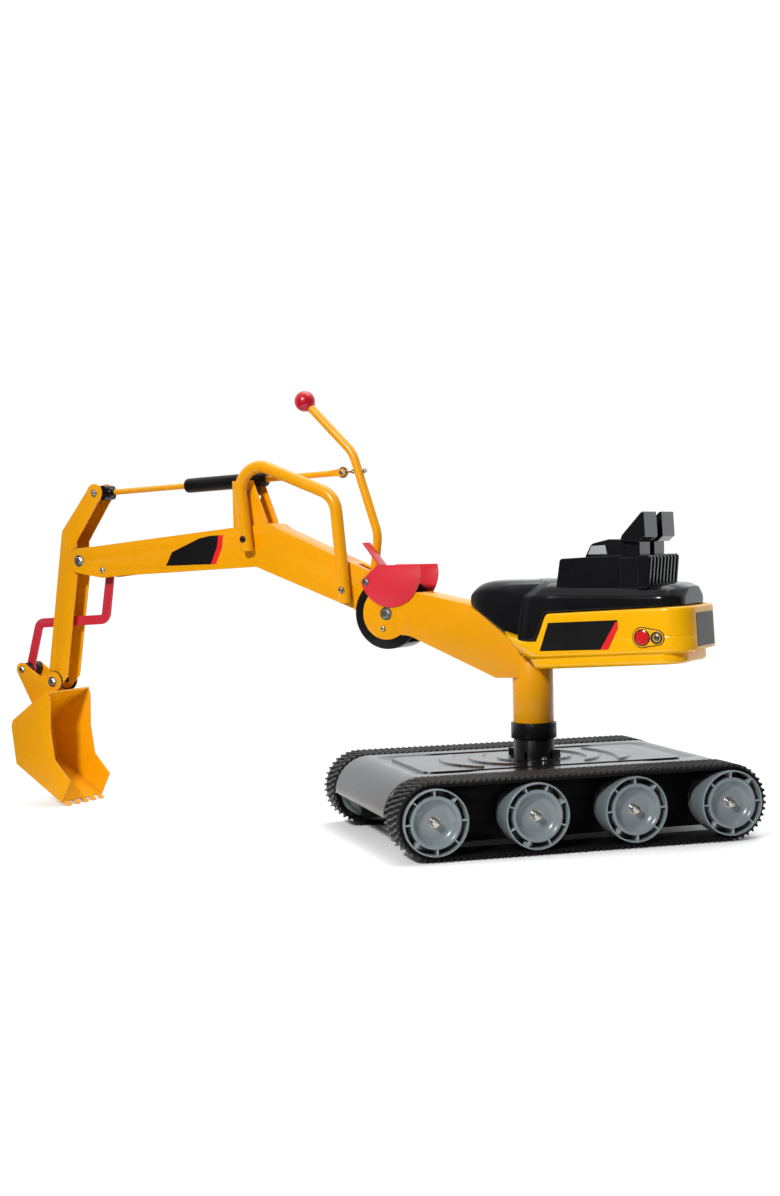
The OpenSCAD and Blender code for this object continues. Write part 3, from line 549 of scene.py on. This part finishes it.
def base_cover():
    """The moulded cover between the tracks."""
    quarter = COVER_R * math.pi / 2
    along = [-COVER_RUN - quarter + quarter * i / 28 for i in range(28)]
    along += [-COVER_RUN + 2 * COVER_RUN * i / 300 for i in range(301)]
    along += [COVER_RUN + quarter * (i + 1) / 28 for i in range(28)]
    across = [-COVER_HALF + 2 * COVER_HALF * j / 130 for j in range(131)]
    # More cuts where the channel's two edges are
    for d in (0, 0.3, 0.6, 1, CHANNEL, CHANNEL + 0.6, CHANNEL + 1.3, CHANNEL + 2):
        across += [-PANEL[1] - d, PANEL[1] + d]
    across.sort()
    shape = Shape()
    shape.grid([[cover_point(s, y) for y in across] for s in along])
    cover = make("base_cover_moulding", shape, BASE, "base", [COVER], ["base_cover"],
                 corner=60)
    thicken(cover, COVER_WALL)
    if cover.data.polygons[0].normal.x > 0:
        cover.data.flip_normals()


base_cover()

# ---------- body shell ----------

SHELL_WALL = 2.4
# From the top edge down to the bottom rim: height, front of the side, front of the lip by the arm, and inset
SHELL_LEVELS = (
    (0, 0, 1, 5), (-0.6, -1.4, -1, 2.4), (-2, -3.4, -3, 0.8), (-4.5, -5.4, -5, 0), (-8, -7.4, -7, 0),
    (-25, -15, -14, 0), (-44.6, -24, -24, 0), (-44.8, -24.1, -82, 0.6), (-46, -24.6, -82, 0),
    (-54, -25.4, -73, 0), (-62, -26.2, -61, 0), (-67, -26.6, -54, 0.1), (-69.5, -26.6, -48, 0.8),
    (-71, -26.4, -46, 2.6), (-72, -26, -44.6, 4.6), (-74, -25.4, -43, 5.6), (-77, -25.6, -41, 5.2),
    (-82, -26.2, -37, 5), (-85.5, -26.4, -34, 5.4), (-88, -25.8, -32, 6.6), (-89.4, -24.6, -30.6, 8.6),
    (-90, -22.4, -29, 11.5))


def plan_outline(w, front, lip, inset):
    """The near half of the outline from above: from the lip by the arm round to the middle of the rear."""
    half, rear, corner = 82 - inset, 243 - inset - 11 * step(-w, 69.5, 74), 43 - inset
    side = front + 14
    tip = 39 + 12 * step(w, -74, -48)
    out = [(lip + 26, -35.6), (lip + 8, -35.6), (lip + 2.4, 1.6 - tip), (lip + 0.3, 0.4 - tip)]
    for i in range(1, 13):
        t = math.radians(90 * i / 12)
        out.append((lip + (side - lip) * (1 - math.cos(t)), -tip - (half - tip) * math.sin(t)))
    out += [(side + (rear - corner - side) * t / 6, -half) for t in range(1, 6)]
    out += arc(rear - corner, -half + corner, corner, -90, 0, 12)
    out.append((rear, (-half + corner) / 2))
    return out


def shell_rise(u, w):
    """The lips' upper edge rises forwards under the seat's nose."""
    if w > -44.7:
        return 0.0
    return max(0.0, -50 - u) * 0.62 * step(w, -66, -44.8)


def body_shell():
    """Lofted from the top edge down, with its far half mirrored."""
    levels = []
    for w, front, lip, inset in SHELL_LEVELS:
        half = [(u, y, w + shell_rise(u, w)) for u, y in plan_outline(w, front, lip, inset)]
        levels.append(half + [(u, -y, z) for u, y, z in reversed(half)])
    shape = Shape()
    shape.grid(levels)
    shell = make("body_shell_moulding", shape, SHELL, "upper", [SHELL_YELLOW],
                 ["body_shell"], corner=50)
    thicken(shell, SHELL_WALL)


body_shell()

# ---------- seat ----------

# Along the nose: x, half width, bottom, shoulder, crown
NOSE = (
    (-101, 20, 384.5, 388, 392.5), (-99.6, 27, 381.2, 390, 398), (-96.5, 31.5, 378.6, 393, 403),
    (-89, 37, 373.6, 396.5, 410.4), (-78, 41.5, 366.4, 399, 415.4), (-66, 45, 358.6, 400.5, 418.4),
    (-50, 49, 348.2, 400, 420), (-30, 53.5, 335.2, 397, 420.4), (-12, 56.5, 323.6, 392, 420.6),
    (2, 57.5, 320.5, 388, 420.6), (4, 57.5, 320.4, 388, 420.6))
# The skirt's foot, the shell's top edge and how it rises, and the start and radius of the rear end
SKIRT, RIM, RIM_RISE = 320.4, 366.9, 0.0489
TAIL, TAIL_R = 191, 36
SEAT_CUTS = (-101, -99.6, -96.5, -89, -78, -66, -50, -30, -16, -6, 1, 4, 5, 8, 12, 18, 26, 34, 38.5, 44, 49,
             52.8, 56, 62, 74, 100, 130, 160, 190, 216, 238, 249, 258, 266, 272.5, 277.4, 280.8, 282.7, 283)


def nose_half(x):
    """seat_half on the nose, between the two rows of NOSE round x."""
    a, b = next((p, q) for p, q in zip(NOSE, NOSE[1:]) if x <= q[0])
    t = (x - a[0]) / (b[0] - a[0])
    _, wide, low, shoulder, crown = [p + (q - p) * t for p, q in zip(a, b)]
    deep = crown - shoulder
    return [(0, low), (wide * 0.8, low), (wide - 1.5, low + 0.6), (wide, low + 3),
            (wide, (low + shoulder) / 2), (wide - 0.4, shoulder), (wide - 2.4, shoulder + deep * 0.34),
            (wide - 7, shoulder + deep * 0.62), (wide - 15, crown - 2.6), (wide * 0.5, crown - 0.3),
            (0, crown + 0.4)]


def seat_half(x):
    """(y, z) points of the seat's cross-section at x, from the bottom's middle round to the top's middle."""
    if x <= NOSE[-1][0]:
        return nose_half(x)
    u = x - SHELL_EDGE[0]
    low = SKIRT if x <= 38 else min(SKIRT + (x - 38) * 3.3, RIM + RIM_RISE * u)
    top = RIM + RIM_RISE * max(u, 0)
    wide = 74 + 4.5 * step(x, 8, 26) - 2 * step(u, 0, 30)
    if u > TAIL:
        wide = 40.5 + math.sqrt(max(0.0, TAIL_R ** 2 - (u - TAIL) ** 2))
    end = step(u, 203, 227)
    crown = 422.2 - 0.0386 * max(u, 0) - 5.5 * end
    shoulder = top + 28 - 0.054 * max(u, 0) * step(u, 0, 60) - 2.5 * end
    ridge = top + 45 - 0.06 * max(u, 0) - 9 * end
    return [(0, low), (wide * 0.8, low), (wide - 1.2, low + 0.3), (wide, low + 1.8),
            (wide, (low + shoulder) / 2), (wide, shoulder - 4), (wide - 1.4, shoulder + 0.6),
            (wide - 4.6, shoulder + 3.6), (wide - 14, ridge), (wide * 0.6, crown - 1), (0, crown)]


def seat_lean(x, y, z):
    """The skirt's front edge leans back as it rises and then runs rearwards as a ridge."""
    back = 10 * step(z, 325, 392) + 12 * step(z, 388, 408) + 22 * step(z, 402, 420)
    near = step(x, -30, 4) if x < 4 else 1 - step(x, 9, 78)
    return x + back * near * step(abs(y), 12, 44)


def seat():
    """Skins the cross-sections along the seat."""
    rings = []
    for x in SEAT_CUTS:
        half = seat_half(x)
        rings.append([(seat_lean(x, y, z), -y, z) for y, z in half]
                     + [(seat_lean(x, y, z), y, z) for y, z in reversed(half[1:-1])])
    shape = Shape()
    shape.rings(rings)
    make("seat_moulding", shape, ARM, "upper", [SEAT], ["seat"], smooth=2, corner=80)


seat()

# ---------- engine cowl and backrest ----------

FINS = 9


def engine_cowl():
    """The cowl in two steps, the finned block behind it and the backrest's two heads."""
    cowl = Shape()
    cowl.prism([(71.6, 405), (79, 453), (83, 455), (187, 459.5), (187, 405)], -65, 65)
    cowl.prism([(119, 452), (131, 475.5), (136, 479), (163, 485), (189, 484), (189, 452)], -60.5, 60.5)
    for y in (-59, 9):
        cowl.prism([(185, 440), (185, 489), (190, 494), (214, 494), (214, 440)], y, y + 50)
    cowl.prism([(184, 430), (184, 480), (204, 480), (204, 430)], -20, 20)
    for side in (-1, 1):
        inner, outer = sorted((side * 11, side * 72))
        cowl.prism([(186, 483), (189, 491), (222, 527), (226, 528), (228, 488), (217, 479)], inner, outer)
    cowl.prism([(183, 405), (183, 456), (228, 456), (231, 453), (227, 405)], -66, 66)
    fin = [(212, 406), (212, 456), (216, 458.8), (232.6, 458.8), (236.4, 455), (232, 409), (228.5, 406)]
    for k in range(FINS):
        y = -64 + 16 * k
        cowl.prism(fin, y - 4.4, y + 4.4)
    make("engine_cowl_moulding", cowl, ARM, "upper", [SEAT], ["engine_cowl"], bevel=2.6,
         steps=4, corner=25)


engine_cowl()

# ---------- films and lamps on the body ----------


def body_films():
    """Plain plates on both sides, with a red end, and on the rear."""
    films = Shape()
    for side in (-1, 1):
        y0, y1 = sorted((side * 81.9, side * 82.5))
        films.prism([(8, -15), (127, -16), (127, -29), (108.5, -62), (-10, -60)], y0, y1)
        y0, y1 = sorted((side * 82.1, side * 82.75))
        films.prism([(95, -61.7), (108.5, -62), (127, -29), (127, -19), (123.6, -19)], y0, y1, tint=1)
    rear = ((-41, -12), (41, -12), (41, -65), (-41, -65))
    films.rings([[(u, y, w) for y, w in rear] for u in (242.7, 243.4)])
    make("body_films", films, SHELL, "upper", [FILM, FILM_RED], ["body_decals"], bevel=0.15,
         steps=1)


def cowl_panes():
    """Silver windows on the cowl's sides."""
    panes = Shape()
    for side in (-1, 1):
        y0, y1 = sorted((side * 60, side * 61.2))
        panes.prism([(127.5, 461), (133, 474.5), (157, 475.5), (160, 461)], y0, y1)
    make("cowl_panes", panes, ARM, "upper", [FILM_SILVER], bevel=0.4, steps=2)


body_films()
cowl_panes()

# Centres of the tail lamp and the marker lamp on the shell's side
LAMP, MARKER = (166.5, -45.5), (190.5, -47)
LAMP_FOOT = 81.6
# Small domes on the tail lamp's lens
DOMES = 12


def lamp_outline(grow):
    """The outline round both lamps, grow millimetres outside the bezel's."""
    return arc(*LAMP, 15.4 + grow, 68, 292, 24) + arc(*MARKER, 11.4 + grow, -68, 68, 16)


def tail_lamp(shape, side):
    """A red lens with a ring of small domes round its middle."""
    foot, way = at(LAMP, side * LAMP_FOOT), (0, side, 0)
    shape.lathe([(0, 1), (11.3, 1), (11.3, 2.8), (10.4, 3.1), (9.9, 2.6), (8.8, 2.6), (8.4, 3.3), (5.2, 3.6),
                 (4.8, 3), (3.8, 3), (3.4, 3.6), (0, 3.9)], foot, way, 48)
    for k in range(DOMES):
        a = math.radians(360 / DOMES * k)
        spot = foot + Vector((6.8 * math.cos(a), 0, 6.8 * math.sin(a)))
        shape.lathe([(0, 3), (1.3, 3), (1.1, 4), (0, 4.3)], spot, way, 12)


def lamps():
    """A bezel with a tail lamp and a marker lamp on each side."""
    bezels, tails, markers = Shape(), Shape(), Shape()
    for side in (-1, 1):
        y = side * LAMP_FOOT
        for grow, face, tint in ((0, 83.8, 0), (1.4, 82.7, 1)):
            y0, y1 = sorted((y, side * face))
            bezels.prism(lamp_outline(grow), y0, y1, tint)
        for centre, r in ((LAMP, 12), (MARKER, 8.4)):
            ring = [(r + 1.4, 0), (r + 1.4, 2.9), (r + 0.9, 3.4), (r, 3.4), (r - 0.5, 2.8), (r - 0.6, 1)]
            bezels.lathe(ring, at(centre, y), (0, side, 0), 40, tint=1, closed=True)
        tail_lamp(tails, side)
        markers.lathe([(0, 1), (7.9, 1), (7.9, 2.6), (6.8, 2.9), (6.4, 2.2), (5, 2.2), (4.4, 3.4), (2.4, 4.1),
                       (0, 4.3)], at(MARKER, y), (0, side, 0), 40)
    make("lamp_surrounds", bezels, SHELL, "upper", [SHELL_YELLOW, DARK_STEEL],
         ["lamp_bezels"], bevel=0.7)
    make("tail_lamp_lenses", tails, SHELL, "upper", [RED_LENS], ["tail_lamps"])
    make("marker_lamp_lenses", markers, SHELL, "upper", [CLEAR_LENS], ["marker_lamps"])


lamps()

# ---------- arm: films, tubes, grips ----------

LEVER_TOP, LEVER_BEND = (-430, 740), (-335, 645)
KNOB_R = 18.4
ROD_WAY = (at(ROD_REAR) - at(ROD_FRONT)).normalized()


def boom_films():
    """A plain film with a red edge on both sides of the boom."""
    plates = Shape()
    decal = [(200, -12), (214, 13), (276, 37.5), (299, 41.5), (327, 42.4), (324, 19), (310, -10)]
    stripe = [(299, -10.2), (310, -10), (324, 19), (327, 42.4), (317, 42), (313, 20)]
    for side in (-1, 1):
        for outline, near, far, tint in ((decal, 25.9, 26.5, 0), (stripe, 26.1, 26.6, 1)):
            y0, y1 = sorted((side * near, side * far))
            plates.prism([(STICK[0] + x, STICK[1] + z) for x, z in outline], y0, y1, tint)
    make("boom_films", plates, ARM, "boom", [FILM, FILM_RED], ["boom_decals"], bevel=0.12,
         steps=1)


def lift_handle():
    """The bent tube on the near side of the boom."""
    handle = Shape()
    path = [at(p, -37) for p in ((-534, 476), (-553, 649), (-352, 569), (-335, 383))]
    handle.tube(rounded(path, 42, 10), 11, 1.6, 32)
    make("lift_handle_tube", handle, ARM, "boom", [YELLOW], ["lift_handle"], bevel=0.35,
         corner=50)


def lever_tube():
    """The bent tube of the lever, flattened to a blade at its pivot."""
    lever = Shape()
    path = [at(p) for p in (LEVER_TOP, LEVER_BEND, (-288, 501), (-296, 438))]
    lever.tube(rounded(path, 60, 12), 7.75, 1.5, 28)
    blade = arc(*LEVER, 9, 180, 360, 16) + [(-286.8, 432), (-289.5, 444), (-302.5, 444), (-304.2, 432)]
    lever.prism(blade, -3, 3)
    make("lever_tube_bent", lever, ARM, "lever", [YELLOW], ["lever_tube"], bevel=0.35,
         corner=50)


def lever_knob():
    """A ball with a short neck round the top of the lever."""
    knob = Shape()
    turns = [math.radians(a) for a in range(0, 150, 6)]
    profile = [(KNOB_R * math.sin(a), -KNOB_R * math.cos(a)) for a in turns]
    profile += [(9.9, 16.4), (9.5, 17.6), (8.6, 18), (0, 18)]
    knob.lathe(profile, at(LEVER_TOP), at(LEVER_BEND) - at(LEVER_TOP), 48)
    make("lever_knob_ball", knob, ARM, "lever", [KNOB], ["lever_knob"], corner=40)


def rod_sleeve():
    """The black grip that slides on the rod, with its lug."""
    sleeve = Shape()
    foot = at(ROD_FRONT) + ROD_WAY * 198
    grip = [(5.7, 0.4), (8, 0), (10.5, 0.4), (12.4, 1.8), (13.3, 4), (13.5, 8), (13.5, 167), (13.3, 171),
            (12.4, 173.2), (10.5, 174.6), (8, 175), (5.7, 174.6)]
    sleeve.lathe(grip, foot, ROD_WAY, 48, closed=True)
    x, z = SLEEVE
    lug = arc(x, z, 7, 180, 360, 14) + [(x + 8, z + 12), (x - 8, z + 12)]
    sleeve.prism(lug, -7, 7)
    make("rod_sleeve_grip", sleeve, ARM, "sleeve", [BLACK], ["rod_sleeve"], corner=35)


def rod_clevis():
    """The black block at the front end of the rod."""
    clevis = Shape()
    turn = math.atan2(ROD_WAY.z, ROD_WAY.x)
    outline = arc(0, 0, 13.6, 90, 270, 18) + [(20, -13), (24, -9.5), (24, 9.5), (20, 13)]
    outline = [(ROD_FRONT[0] + x * math.cos(turn) - z * math.sin(turn),
                ROD_FRONT[1] + x * math.sin(turn) + z * math.cos(turn)) for x, z in outline]
    clevis.prism(outline, -16.6, 16.6)
    neck = [(0, 22), (9.5, 22), (8.8, 26), (7.6, 28), (7.4, 34), (6.6, 35), (0, 35)]
    clevis.lathe(neck, at(ROD_FRONT), ROD_WAY, 32)
    make("rod_clevis_block", clevis, ARM, "rod", [BLACK], ["rod_clevis"], bevel=1.2,
         corner=28)


boom_films()
lift_handle()
lever_tube()
lever_knob()
rod_sleeve()
rod_clevis()

# ---------- arm: bolts ----------


def pivot_bolts(name, rows, body, stands_for):
    """Rows of (point, y, washer, head, height, sides), put on both sides of the arm."""
    shape = Shape()
    for p, y, washer, head, height, sides in rows:
        for side in (-1, 1):
            shape.bolt(p, side * y, side, washer, head, height, sides)
        shape.lathe([(0, 0), (2.4, 0), (2.4, 2 * y), (0, 2 * y)], at(p, -y), (0, 1, 0), 20)
    make(name, shape, ARM, body, [STEEL], stands_for, corner=30)


def handle_screws():
    """The two screws that hold the lift handle; the front one is darker."""
    shape = Shape()
    for p, tint in (((-537, 498), 1), ((-337, 406), 0)):
        shape.bolt(p, -48, -1, 6, 4.6, 4.2, 0, tint)
        shape.lathe([(0, 0), (2.9, 0), (2.9, 28), (0, 28)], at(p, -47.5), (0, 1, 0), 20, tint)
        shape.bolt(p, -23.5, 1, 0, 5, 2.8, 6, tint)
    make("handle_screw_heads", shape, ARM, "boom", [STEEL, DARK_STEEL], ["handle_screws"], corner=30)


pivot_bolts("main_pivot_bolt_heads", [(MAIN, 33, 11.3, 7.6, 5.5, 6)], "upper", ["main_pivot_bolt"])
pivot_bolts("boom_rivet_heads", [((-264, 338.8), 33, 0, 4.8, 3.4, 0)], "upper", ["boom_rivets"])
pivot_bolts("lever_pivot_bolt_heads", [(LEVER, 35.6, 6.5, 4.6, 4.4, 6)], "boom", ["lever_pivot_bolt"])
pivot_bolts("stick_pivot_bolt_heads", [(STICK, 26, 11, 7.6, 5.2, 6)], "boom", ["stick_pivot_bolt"])
pivot_bolts("link_screw_heads", [(LINK, 26, 0, 5.6, 3.8, 0)], "boom", ["link_screw"])
pivot_bolts("rod_pivot_screw_heads", [(ROD_FRONT, 20, 7, 5, 4.2, 0)], "stick", ["rod_pivot_screw"])
pivot_bolts("rod_fork_bolt_heads", [(ROD_REAR, 5.5, 5, 4, 3.6, 6)], "rod", ["rod_fork_bolt"])
pivot_bolts("bucket_bolt_heads", [(BUCKET, 26, 10, 7, 5, 6), (LINK_END, 26, 6.5, 4.8, 4.2, 6)], "bucket",
            ["bucket_bolts"])
handle_screws()

# ---------- floor, light and camera ----------

# In metres: the floor's half side, its middle, and the distances from that where it fades and is gone
FLOOR_REACH, FLOOR_MIDDLE, FLOOR_FADE = 60.0, (0.2, 0, 0), (0.62, 1.15)
BACKDROP = 1.05
# The studio is bright behind and above the object, along BRIGHT_WAY, and dim in front of it
BRIGHT_WAY = (-0.42, 0.82, 0.38)
BRIGHT_FROM, BRIGHT_TO = (-0.3, 0.75), (0.09, 1.15)
EYE, LOOK, ROLL_ANGLE = (1.559583, -2.7572, 0.4977), (-0.4721, 0.8809, -0.0344), math.radians(-1.29)
SENSOR, LENS = 36, 54.1806


def pale_floor():
    """A pale floor that fades out round the object, so that beyond its shadow only the backdrop shows."""
    paint = bpy.data.materials.new("floor_pale")
    paint.use_nodes = True
    tree = paint.node_tree
    new, link = tree.nodes.new, tree.links.new
    shader = tree.nodes["Principled BSDF"]
    shader.inputs["Base Color"].default_value = (0.93, 0.93, 0.93, 1)
    shader.inputs["Roughness"].default_value = 0.6
    shader.inputs["Specular IOR Level"].default_value = 0.2
    place = new("ShaderNodeTexCoord")
    apart = new("ShaderNodeVectorMath")
    apart.operation = "DISTANCE"
    apart.inputs[1].default_value = FLOOR_MIDDLE
    fade = new("ShaderNodeMapRange")
    fade.interpolation_type = "SMOOTHSTEP"
    fade.inputs["From Min"].default_value, fade.inputs["From Max"].default_value = FLOOR_FADE
    clear = new("ShaderNodeBsdfTransparent")
    mix = new("ShaderNodeMixShader")
    link(place.outputs["Object"], apart.inputs[0])
    link(apart.outputs["Value"], fade.inputs["Value"])
    link(fade.outputs["Result"], mix.inputs["Fac"])
    link(shader.outputs[0], mix.inputs[1])
    link(clear.outputs[0], mix.inputs[2])
    link(mix.outputs[0], tree.nodes["Material Output"].inputs["Surface"])
    mesh = bpy.data.meshes.new("floor")
    r = FLOOR_REACH
    mesh.from_pydata([(-r, -r, 0), (r, -r, 0), (r, r, 0), (-r, r, 0)], [], [(0, 1, 2, 3)])
    mesh.materials.append(paint)
    floor = bpy.data.objects.new("floor", mesh)
    scene.collection.objects.link(floor)


def area_light(name, place, target, size, power):
    """A white rectangular light that looks at target."""
    data = bpy.data.lights.new(name, "AREA")
    data.shape = "RECTANGLE"
    data.size, data.size_y = size
    data.energy = power
    light = bpy.data.objects.new(name, data)
    light.location = place
    light.rotation_mode = "QUATERNION"
    light.rotation_quaternion = (Vector(target) - Vector(place)).to_track_quat("-Z", "Y")
    scene.collection.objects.link(light)


def studio():
    """A backdrop that is white when seen, and lights the object unevenly as a studio does."""
    world = bpy.data.worlds.new("studio")
    scene.world = world
    world.use_nodes = True
    tree = world.node_tree
    tree.nodes.clear()
    new, link = tree.nodes.new, tree.links.new
    out = new("ShaderNodeOutputWorld")
    seen, lit = new("ShaderNodeBackground"), new("ShaderNodeBackground")
    seen.inputs["Color"].default_value = (1, 1, 1, 1)
    seen.inputs["Strength"].default_value = BACKDROP
    lit.inputs["Color"].default_value = (0.97, 0.985, 1, 1)
    look = new("ShaderNodeTexCoord")
    facing = new("ShaderNodeVectorMath")
    facing.operation = "DOT_PRODUCT"
    facing.inputs[1].default_value = BRIGHT_WAY
    bright = new("ShaderNodeMapRange")
    bright.interpolation_type = "SMOOTHSTEP"
    bright.inputs["From Min"].default_value, bright.inputs["From Max"].default_value = BRIGHT_FROM
    bright.inputs["To Min"].default_value, bright.inputs["To Max"].default_value = BRIGHT_TO
    link(look.outputs["Generated"], facing.inputs[0])
    link(facing.outputs["Value"], bright.inputs["Value"])
    link(bright.outputs["Result"], lit.inputs["Strength"])
    ray = new("ShaderNodeLightPath")
    blend = new("ShaderNodeMixShader")
    link(ray.outputs["Is Camera Ray"], blend.inputs["Fac"])
    link(lit.outputs[0], blend.inputs[1])
    link(seen.outputs[0], blend.inputs[2])
    link(blend.outputs[0], out.inputs["Surface"])


def photo_camera():
    """A camera at the photograph's viewpoint, rolled as the photograph is."""
    data = bpy.data.cameras.new("camera")
    data.sensor_width = SENSOR
    data.lens = LENS
    eye = bpy.data.objects.new("camera", data)
    forward = Vector(LOOK).normalized()
    right = forward.cross(Vector((0, 0, 1))).normalized()
    up = right.cross(forward)
    c, s = math.cos(ROLL_ANGLE), math.sin(ROLL_ANGLE)
    right, up = right * c + up * s, up * c - right * s
    eye.matrix_world = Matrix.Translation(EYE) @ Matrix((right, up, -forward)).transposed().to_4x4()
    scene.collection.objects.link(eye)
    scene.camera = eye


pale_floor()
area_light("key", (0.15, -3.3, 2.3), (0, 0, 0.3), (0.4, 0.35), 132)
area_light("top", (0.3, 0.9, 3.6), (0.1, 0, 0.2), (3.4, 2.2), 90)
studio()
scene.view_settings.view_transform = "Standard"
photo_camera()
